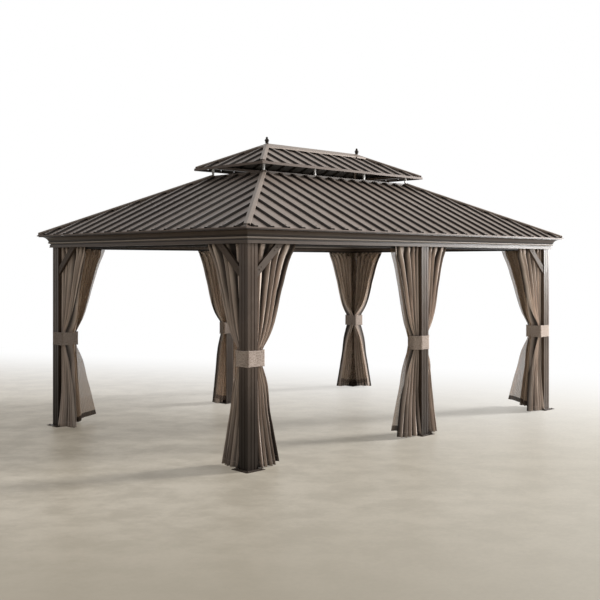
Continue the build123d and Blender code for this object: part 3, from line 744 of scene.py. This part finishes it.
# %% Thickness
def plain_mesh(piece):
    """Turns a piece with its modifier into a plain mesh."""
    graph = bpy.context.evaluated_depsgraph_get()
    mesh = bpy.data.meshes.new_from_object(piece.evaluated_get(graph))
    piece.modifiers.clear()
    piece.data = mesh
    return mesh


def thicken(piece, thickness):
    """Gives a sheet its thickness."""
    solid = piece.modifiers.new("thickness", "SOLIDIFY")
    solid.thickness = thickness
    solid.offset = 0
    mesh = plain_mesh(piece)
    fold = mesh.uv_layers.get("fold")
    if fold:
        inner = len(mesh.polygons) // 2
        for polygon in mesh.polygons[inner:]:
            for corner in polygon.loop_indices:
                fold.data[corner].uv.x = 1 - fold.data[corner].uv.x


print("pieces with a fold map so far", sum("fold" in m.uv_layers for m in bpy.data.meshes))

# %% [markdown]
# ## Pleats
# A hanging is one flat sheet, gathered into pleats. A pleat is as deep as the flat width needs at
# each height, up to a limit that keeps the cloth in its place, so where the band draws it in the
# sheet is narrower than its flat width. A cloth simulation could drape it too, but each sheet would
# have to be pulled in by its band. A formula keeps the widths under control, and its folds are
# similar, only more regular.


# %% Pleats
BAND_FADE = 0.45
FLOOR_GAP = 0.0075
SKEW = 0.38


def pleat_waves(generator, s, folds, uneven, upper, lower):
    """The phase and the relative depth of the pleats, which differ above and below the band."""
    wander = upper * smooth_noise(generator, folds, s) + lower * smooth_noise(generator, folds, s)
    phase = 2 * np.pi * (folds * s + uneven * wander)
    scale = 1 + uneven * upper * smooth_noise(generator, folds + 2, s)
    scale += uneven * lower * smooth_noise(generator, folds + 2, s)
    return phase, scale


def pleat_reach(flat_width, width, folds):
    """How far a pleat swings out when the flat width is gathered to a width."""
    half = flat_width / (2 * folds)
    return np.sqrt(np.maximum(half**2 - (width / (2 * folds)) ** 2, 1e-6)) / 2


def pleat_shape(phase, along):
    """The phase and the valleys of pleats that slope gently to the lit side and steeply behind."""
    toward = np.sign(along @ np.array((math.sin(VIEW_TURN), -math.cos(VIEW_TURN), 0)))
    phase = phase - SKEW * toward * (1 - np.cos(phase))
    return phase, ((1 - np.cos(phase)) / 2) ** 1.3


print("pleat reach of 0.86 m gathered to 0.51 m", round(float(pleat_reach(0.86, 0.51, 5)), 4))

# %% [markdown]
# ## One hanging
# The sheet starts at a post's face and runs along a wall. At the rail a curtain's heading is drawn
# forward and pressed flatter. At the band each sheet moves inward, and a corner curtain also grows
# deeper, into the corner behind the post. Near the floor a curtain swings out round the post's foot.

# %% Hanging
HEADING_LOW, HEADING_FADE = 1.96, 0.07
HEADING_IN, HEADING_DEPTH = 0.0508, 0.0095
SWING_HIGH = 0.55
FIRST_GAP = 0.004


def folded_cloth(name, wall, widths, flat_width, folds, bundle, kind, seed):
    """One gathered sheet beside a post."""
    start, along, inward = (np.array(v, float) for v in wall)
    top, inset = kind["head"], kind["inset"]
    generator = np.random.default_rng(seed)
    columns, rows = kind["grid"]
    s, t = np.meshgrid(np.linspace(0, 1, columns + 1), np.linspace(0, 1, rows + 1))
    hem = kind["low"] + kind["rise"] * s**2 + 0.006 * smooth_noise(generator, 5, s)
    height = top + (np.maximum(hem, FLOOR_GAP) - top) * t
    width = edge_width(height, *widths)
    upper = np.clip((height - TIE_HIGH) / BAND_FADE, 0, 1)
    lower = np.clip((TIE_LOW - height) / BAND_FADE, 0, 1)
    phase, scale = pleat_waves(generator, s, folds, kind["uneven"], upper, lower)
    reach = np.minimum(pleat_reach(flat_width, width, folds) * scale, kind["deepest"])
    # At the band all sheets move inward, but only a curtain's pleats may grow deeper
    before_rail = top > RAIL_UNDER
    drawn = (1 - np.maximum(upper, lower)) ** 2
    reach = reach + bundle[0] * s * drawn * before_rail
    centre = inset + bundle[1] * s * drawn
    phase, valley = pleat_shape(phase, along)
    depth = reach * (2 * valley - 1) + 0.10 * reach * np.sin(2.3 * phase + seed + 4 * height)
    # The heading at the rail
    heading = np.clip((height - HEADING_LOW) / HEADING_FADE, 0, 1) * before_rail
    centre = centre * (1 - heading) + HEADING_IN * heading
    depth = depth * (1 - heading) + np.clip(depth, -HEADING_DEPTH, HEADING_DEPTH) * heading
    # The swing round the foot of the post
    swing = kind["swing"] * np.clip((SWING_HIGH - height) / SWING_HIGH, 0, 1) ** 1.5
    centre = centre - swing * (1 - 0.5 * s)
    lean = 0.20 * np.sin(phase) / (2 * np.pi * folds)
    run = FIRST_GAP + (width - FIRST_GAP) * np.clip(s - lean, 0, 1)
    points = start + run[..., None] * along + (centre + depth)[..., None] * inward
    points[..., 2] = height
    uv = np.stack([s * flat_width, t * kind["length"]], -1).reshape(-1, 2)
    fold = np.stack([1 - valley, t], -1).reshape(-1, 2)
    flip = np.cross(along, (0, 0, -1)) @ inward > 0
    faces = grid_faces(columns, rows, flip=flip)
    return link_mesh(name, points.reshape(-1, 3), faces, kind["finish"], {"flat": uv, "fold": fold})


print("heading from", HEADING_LOW, "swing below", SWING_HIGH)

# %% [markdown]
# ## Places and reaches
# Every post carries two hangings: at a corner one on the long and one on the short side, at a middle
# post one to the left and one to the right. Nine of the twelve have a reach of their own, fitted to
# the photograph and the bands: at the rail, at the band and at the floor, and that of the net at the
# floor. The other three take the usual values.

# %% Places
REACH = {
    "front_left_long": (0.530, 0.086, 0.315, 0.325),
    "front_left_short": (0.500, 0.050, 0.275, 0.285),
    "front_middle_left": (0.405, 0.062, 0.345, 0.405),
    "front_middle_right": (0.385, 0.050, 0.215, 0.235),
    "front_right_short": (0.520, 0.086, 0.300, 0.437),
    "back_left_long": (0.520, 0.086, 0.225, 0.411),
    "back_right_long": (0.470, 0.040, 0.260, 0.280),
    "back_right_short": (0.520, 0.086, 0.290, 0.310),
    "back_middle_left": (0.445, 0.055, 0.165, 0.190),
}
USUAL_CORNER = (0.510, 0.086, 0.310, 0.330)
USUAL_MIDDLE = (0.415, 0.055, 0.330, 0.350)
ENDS = (("left", -1), ("right", 1))
SIDES = (("front", -1), ("back", 1))


def walls():
    """Every curtain: its name, node, and the start, run and inward direction of its wall."""
    found = []
    for end, sx in ENDS:
        for side, sy in SIDES:
            corner = f"curtains_{side}_{end}"
            start = (sx * (POST_X - POST), sy * POST_Y, 0)
            found.append((f"{side}_{end}_long", corner, start, (-sx, 0, 0), (0, -sy, 0)))
            start = (sx * POST_X, sy * (POST_Y - POST), 0)
            found.append((f"{side}_{end}_short", corner, start, (0, -sy, 0), (-sx, 0, 0)))
    for side, sy in SIDES:
        for end, sx in ENDS:
            start = (sx * POST / 2, sy * POST_Y, 0)
            node = f"curtains_{side}_middle"
            found.append((f"{side}_middle_{end}", node, start, (sx, 0, 0), (0, -sy, 0)))
    return found


print("hangings", len(walls()), "with a reach of their own", len(REACH))

# %% [markdown]
# ## Curtains and nets
# A curtain hangs under the rail's outer half and its net under the inner edge. Corner curtains are
# wider and have one fold more than those at the middle posts. The nets have many shallow folds, and
# their hems hang higher.

# %% Hang them
CURTAINS = {
    "finish": curtain_cloth, "length": CURTAIN_LENGTH, "head": RAIL_TOP - 0.0012, "low": 0.007,
    "rise": 0.012, "uneven": 0.36, "swing": 0.055, "inset": 0.074, "deepest": 0.033,
    "grid": (200, 56),
}
NETS = {
    "finish": net_mesh, "length": NET_LENGTH, "head": RAIL_UNDER - 0.002, "low": 0.046,
    "rise": 0.045, "uneven": 0.15, "swing": 0.0, "inset": 0.1165, "deepest": 0.0045,
    "grid": (192, 24),
}
CURTAIN_THICK, NET_THICK = 0.0014, 0.0006
NET_FOLDS = 16
for index, (label, node, *wall) in enumerate(walls()):
    middle = "middle" in label
    top, waist, foot, net_foot = REACH.get(label, USUAL_MIDDLE if middle else USUAL_CORNER)
    folds, flat_width, net_flat = (4, 0.70, 0.44) if middle else (5, 0.86, 0.52)
    bundle = (0.000, 0.022) if middle else (0.036, 0.030)
    widths = (top, waist, foot)
    piece = folded_cloth("curtain_" + label, wall, widths, flat_width, folds, bundle, CURTAINS, 11 + index)
    thicken(piece, CURTAIN_THICK)
    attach(piece, "root")
    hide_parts(node)
    rests = ["curtain_rails", "tie_" + label.rsplit("_", 1)[0]]
    widths = (top + 0.002, waist + 0.004, net_foot)
    piece = folded_cloth("net_" + label, wall, widths, net_flat, NET_FOLDS, bundle, NETS, 41 + index)
    thicken(piece, NET_THICK)
    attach(piece, "root")
    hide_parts("nets")
print("curtains", made("curtain_"), "nets", made("net_"))

# %% [markdown]
# ## The way round a post
# A wide band goes round each post and the hangings beside it. Its plan is a loop with round corners,
# read at even steps. The cloth is pulled tight at the corners and slack between them.


# %% Band loop
def rounded_loop(corners, radius, spacing):
    """Points along a closed outline with round corners, and its length."""
    points = []
    corners = [np.array(c, float) for c in corners]
    for before, here, after in zip([corners[-1], *corners], corners, [*corners[1:], corners[0]]):
        back = (before - here) / np.linalg.norm(before - here)
        ahead = (after - here) / np.linalg.norm(after - here)
        cut = min(radius, np.linalg.norm(before - here) / 2.2, np.linalg.norm(after - here) / 2.2)
        for part in np.linspace(0, 1, 9):
            a = here + back * cut * (1 - part)
            b = here + ahead * cut * part
            points.append(a * (1 - part) + b * part)
    points = np.array(points + [points[0]])
    steps = np.linalg.norm(np.diff(points, axis=0), axis=1)
    total = steps.sum()
    count = int(total / spacing)
    where = np.concatenate([[0], np.cumsum(steps)])
    spots = np.arange(count) / count * total
    loop = np.stack([np.interp(spots, where, points[:, k]) for k in (0, 1)], -1)
    return loop, total


def outward_of(loop):
    """The outward direction at every point of a loop."""
    ahead = np.roll(loop, -1, axis=0) - np.roll(loop, 1, axis=0)
    outward = np.stack([ahead[:, 1], -ahead[:, 0]], -1)
    outward /= np.linalg.norm(outward, axis=1)[:, None]
    return outward if np.sum((loop - loop.mean(0)) * outward) >= 0 else -outward


def slack_of(loop):
    """0 where a loop turns and 1 where it runs straight, smoothed over nine points."""
    turn = np.linalg.norm(np.roll(loop, -3, 0) - 2 * loop + np.roll(loop, 3, 0), axis=1)
    slack = 1 - np.clip(turn / turn.max() * 2.0, 0, 1)
    return np.convolve(np.tile(slack, 3), np.ones(9) / 9, "same")[len(loop) : 2 * len(loop)]


square = [(0.1, 0.1), (-0.1, 0.1), (-0.1, -0.1), (0.1, -0.1)]
print("round a square of 0.2 m", round(float(rounded_loop(square, 0.020, 0.006)[1]), 3))

# %% [markdown]
# ## Tie bands
# The band's edges sag a little where it is slack, its middle sits in, and a hem thickens both edges.
# A few smooth waves keep it from looking machined.

# %% Bands
BAND_ROUND, BAND_STEP, BAND_ROWS = 0.020, 0.006, 22
BAND_MARGIN = 0.002
BAND_SAG = 0.006
BAND_THICK = 0.0022


def band(name, corners, seed):
    """One band round the given corners, with its length and its height."""
    loop, total = rounded_loop(corners, BAND_ROUND, BAND_STEP)
    count = len(loop)
    generator = np.random.default_rng(seed)
    outward = outward_of(loop)
    slack = slack_of(loop)[None, :]
    s, t = np.meshgrid(np.arange(count) / count, np.linspace(0, 1, BAND_ROWS + 1))
    tall = TIE_HIGH - TIE_LOW - 2 * BAND_MARGIN
    height = TIE_HIGH - BAND_MARGIN - tall * t - BAND_SAG * slack * (1 - 1.6 * t)
    wave = smooth_noise(generator, 14, s) * 0.002 * np.sin(np.pi * t) ** 0.5
    bulge = -0.0015 * slack * np.sin(np.pi * t) + wave * slack
    hems = 0.0009 * ((t < 0.09) | (t > 0.91))
    plan = loop[None, :, :] + outward[None, :, :] * (bulge + hems)[..., None]
    points = np.concatenate([plan, height[..., None]], -1).reshape(-1, 3)
    uv = np.stack([s * total, t * tall], -1).reshape(-1, 2)
    faces = grid_faces(count, BAND_ROWS, closed=True)
    piece = link_mesh(name, points, faces, tie_cloth, {"flat": uv})
    thicken(piece, BAND_THICK)
    return piece, total, tall


def tie(place, corners, seed):
    """A band at a post."""
    piece, total, tall = band(f"tie_{place}", corners, seed)
    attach(piece, "root")
    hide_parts("tie_bands")


print("band height", round(TIE_HIGH - TIE_LOW - 2 * BAND_MARGIN, 4))

# %% [markdown]
# ## Bands at the corners and in the middle
# At a corner the band goes round the post and both hangings in a rectangle. It reaches less far on
# one side of two posts, where the bundle is narrower. At a middle post it follows the bundle behind
# the post, given here as places along the wall and inward from the post's face.

# %% Tie them
TIE_GAP = 0.004
TIE_REACH = 0.2115
MIDDLE_PLAN = [
    (-0.066, -0.005), (0.066, -0.005), (0.116, 0.042),
    (0.118, 0.132), (-0.120, 0.132), (-0.130, 0.060),
]
for end, sx in ENDS:
    for side, sy in SIDES:
        near = (sx * (POST_X + TIE_GAP), sy * (POST_Y + TIE_GAP))
        short_reach = 0.172 if (sx, sy) == (-1, -1) else TIE_REACH
        long_reach = 0.165 if (sx, sy) == (1, 1) else TIE_REACH
        far = (sx * (POST_X - long_reach), sy * (POST_Y - short_reach))
        corners = [near, (far[0], near[1]), far, (near[0], far[1])]
        tie(f"{side}_{end}", corners, 70 + sx + 3 * sy)
for side, sy in SIDES:
    corners = [(run, sy * (POST_Y - inward)) for run, inward in MIDDLE_PLAN]
    tie(f"{side}_middle", corners, 90 + sy)
print("bands", made("tie_"))

# %% [markdown]
# ## Small fittings
# Screws, bolts and gliders are turned from a short outline of radius and height. They are seen from
# metres away, and there are many of them, so ten or twelve sides are enough.


# %% Turned fittings
def turned(name, profile, segments):
    """A small turned fitting from (radius, height) pairs, closed at both ends."""
    points, faces = [], []
    for radius, height in profile:
        for k in range(segments):
            angle = 2 * math.pi * k / segments
            points.append((radius * math.cos(angle), radius * math.sin(angle), height))
    rings = len(profile)
    for ring in range(rings - 1):
        for k in range(segments):
            a = ring * segments + k
            b = ring * segments + (k + 1) % segments
            faces.append((a, b, b + segments, a + segments))
    faces.append(tuple(range(segments - 1, -1, -1)))
    faces.append(tuple(range((rings - 1) * segments, rings * segments)))
    mesh = bpy.data.meshes.new(name)
    mesh.from_pydata(points, [], faces)
    return bpy.data.objects.new(name, mesh)


bolt_profile = [
    (0.0120, 0.0), (0.0120, 0.0018), (0.0085, 0.0020),
    (0.0085, 0.0072), (0.0070, 0.0084), (0.003, 0.0088),
]
screw_profile = [
    (0.0075, 0.0), (0.0072, 0.0012), (0.0045, 0.0016),
    (0.0045, 0.0046), (0.0036, 0.0054), (0.001, 0.0056),
]
glider_profile = [
    (0.0035, -0.011), (0.0035, -0.004), (0.0018, -0.003),
    (0.0018, 0.001), (0.0030, 0.0015), (0.003, 0.003),
]
washer_bolt = turned("washer_bolt", bolt_profile, 12)
roof_screw = turned("roof_screw", screw_profile, 12)
glider = turned("glider", glider_profile, 10)
print("faces of a fitting", [len(f.data.polygons) for f in (washer_bolt, roof_screw, glider)])

# %% [markdown]
# ## A tree that copies a fitting
# One node tree copies a fitting to every marked point. It turns each copy to the point's own axis
# and spins it by a random angle from a fixed seed, because no two screws stop at the same turn. The
# copies are made real and get their finish, because the export drops instances.


# %% Node tree
def scatter_tree():
    """A tree with named inputs: points, fitting, finish, spin and seed."""
    tree = bpy.data.node_groups.new("fittings", "GeometryNodeTree")
    kinds = {
        "Points": "Geometry",
        "Fitting": "Object",
        "Finish": "Material",
        "Spin": "Float",
        "Seed": "Int",
    }
    for label, kind in kinds.items():
        tree.interface.new_socket(label, in_out="INPUT", socket_type="NodeSocket" + kind)
    tree.interface.new_socket("Fittings", in_out="OUTPUT", socket_type="NodeSocketGeometry")
    make, link = tree.nodes.new, tree.links.new
    given = make("NodeGroupInput")
    axis = make("GeometryNodeInputNamedAttribute")
    axis.data_type = "FLOAT_VECTOR"
    axis.inputs["Name"].default_value = "axis"
    aim = make("FunctionNodeAlignEulerToVector")
    aim.axis = "Z"
    link(axis.outputs["Attribute"], aim.inputs["Vector"])
    spin = make("FunctionNodeRandomValue")
    spin.data_type = "FLOAT"
    link(given.outputs["Spin"], spin.inputs[3])
    link(given.outputs["Seed"], spin.inputs["Seed"])
    turn = make("FunctionNodeRotateEuler")
    turn.rotation_type = "AXIS_ANGLE"
    turn.space = "LOCAL"
    turn.inputs["Axis"].default_value = (0, 0, 1)
    link(aim.outputs[0], turn.inputs["Rotation"])
    link(spin.outputs[1], turn.inputs["Angle"])
    info = make("GeometryNodeObjectInfo")
    link(given.outputs["Fitting"], info.inputs["Object"])
    copy = make("GeometryNodeInstanceOnPoints")
    link(given.outputs["Points"], copy.inputs["Points"])
    link(info.outputs["Geometry"], copy.inputs["Instance"])
    link(turn.outputs[0], copy.inputs["Rotation"])
    real = make("GeometryNodeRealizeInstances")
    link(copy.outputs[0], real.inputs[0])
    coat = make("GeometryNodeSetMaterial")
    link(real.outputs[0], coat.inputs["Geometry"])
    link(given.outputs["Finish"], coat.inputs["Material"])
    result = make("NodeGroupOutput")
    link(coat.outputs[0], result.inputs[0])
    return tree


FITTINGS = scatter_tree()
print("tree nodes", len(FITTINGS.nodes))

# %% [markdown]
# ## From marked points to one piece
# The points and their axes go into a mesh, the tree makes the copies, and the result becomes one
# plain mesh that rides with the gazebo.

# %% Scatter
FULL_TURN = 6.28


def scatter(name, spots, fitting, finish, seed):
    """One piece: a copy of the fitting at every (place, axis)."""
    mesh = bpy.data.meshes.new(name)
    mesh.from_pydata([tuple(place) for place, _ in spots], [], [])
    axis = mesh.attributes.new("axis", "FLOAT_VECTOR", "POINT")
    axis.data.foreach_set("vector", np.array([a for _, a in spots], np.float32).ravel())
    piece = bpy.data.objects.new(name, mesh)
    bpy.context.scene.collection.objects.link(piece)
    modifier = piece.modifiers.new("fittings", "NODES")
    modifier.node_group = FITTINGS
    inputs = {s.name: s.identifier for s in FITTINGS.interface.items_tree if s.in_out == "INPUT"}
    modifier[inputs["Fitting"]] = fitting
    modifier[inputs["Finish"]] = finish.material
    modifier[inputs["Spin"]] = FULL_TURN
    modifier[inputs["Seed"]] = seed
    mesh = plain_mesh(piece)
    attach(piece, "root")
    print(name, len(spots), "copies", len(mesh.polygons), "faces")


print("spin up to", FULL_TURN)

# %% [markdown]
# ## Bolts at the feet
# Four bolts with washers hold each foot plate, one at each hole.

# %% Foot bolts
HOLE_REACH = 0.085
bolt_spots = []
for px in (-POST_X + POST / 2, 0.0, POST_X - POST / 2):
    for py in (-POST_Y + POST / 2, POST_Y - POST / 2):
        for dx in (-HOLE_REACH, HOLE_REACH):
            for dy in (-HOLE_REACH, HOLE_REACH):
                bolt_spots.append(((px + dx, py + dy, PLATE_TOP), (0, 0, 1)))
scatter("foot_bolts", bolt_spots, washer_bolt, steel, 1)

# %% [markdown]
# ## Screws in the braces
# Two screws sit near each end of a brace, on its outer face, along its middle line.

# %% Brace screws
BRACE_FOOT, BRACE_RISE, BRACE_IN = 1.7905, 0.916, 0.008
brace_spots = []
for sx in (-1, 1):
    for sy in (-1, 1):
        for run in (0.030, 0.058, 0.225, 0.255):
            height = BRACE_FOOT + BRACE_RISE * run
            place = (sx * (POST_X - POST - run), sy * (POST_Y - BRACE_IN), height)
            brace_spots.append((place, (0, sy, 0)))
            place = (sx * (POST_X - BRACE_IN), sy * (POST_Y - POST - run), height)
            brace_spots.append((place, (sx, 0, 0)))
scatter("brace_screws", brace_spots, roof_screw, bronze, 2)

# %% [markdown]
# ## Screws in the roof
# The main roof is screwed through its ribs in three rows on each slope. The rise from the eave to
# the vent is the same on all sides, so the long and the short slopes have different pitches. A row
# stops short of the hips.

# %% Roof screws
ROOF_RISE = 0.678
HIP_MARGIN = 0.12
EAVE = VENT_HIGH - ROOF_RISE
SIDE_SLOPE = ROOF_RISE / (ROOF_Y - VENT_Y)
END_SLOPE = ROOF_RISE / (ROOF_X - VENT_X)
SIDE_TILT, END_TILT = math.atan(SIDE_SLOPE), math.atan(END_SLOPE)
skew = (ROOF_X - VENT_X) / (ROOF_Y - VENT_Y)
roof_spots = []
for run in (0.045, 0.70, 1.33):
    for k in range(-13, 14):
        if abs(k * SIDE_PITCH) < ROOF_X - run * skew - HIP_MARGIN:
            for sy in (-1, 1):
                place = (k * SIDE_PITCH, sy * (ROOF_Y - run), EAVE + SIDE_SLOPE * run)
                roof_spots.append((place, (0, sy * math.sin(SIDE_TILT), math.cos(SIDE_TILT))))
for run in (0.045, 0.75, 1.42):
    for k in range(-8, 9):
        if abs(k * END_PITCH) < ROOF_Y - run / skew - HIP_MARGIN:
            for sx in (-1, 1):
                place = (sx * (ROOF_X - run), k * END_PITCH, EAVE + END_SLOPE * run)
                roof_spots.append((place, (sx * math.sin(END_TILT), 0, math.cos(END_TILT))))
scatter("roof_screws", roof_spots, roof_screw, trim, 3)

# %% [markdown]
# ## Gliders in the rails
# Nine small gliders for each curtain show under the middle of the rail.

# %% Gliders
GLIDERS = 9
GLIDER_IN = 0.090
FIRST_GLIDER, GLIDER_SPAN = 0.02, 0.37
glider_spots = []
for _, _, *wall in walls():
    start, along, inward = (np.array(v, float) for v in wall)
    for k in range(GLIDERS):
        run = FIRST_GLIDER + GLIDER_SPAN * (k + 0.5) / GLIDERS
        place = start + along * run + inward * GLIDER_IN
        glider_spots.append(((place[0], place[1], RAIL_UNDER), (0, 0, 1)))
scatter("curtain_gliders", glider_spots, glider, screw_steel, 4)

# %% [markdown]
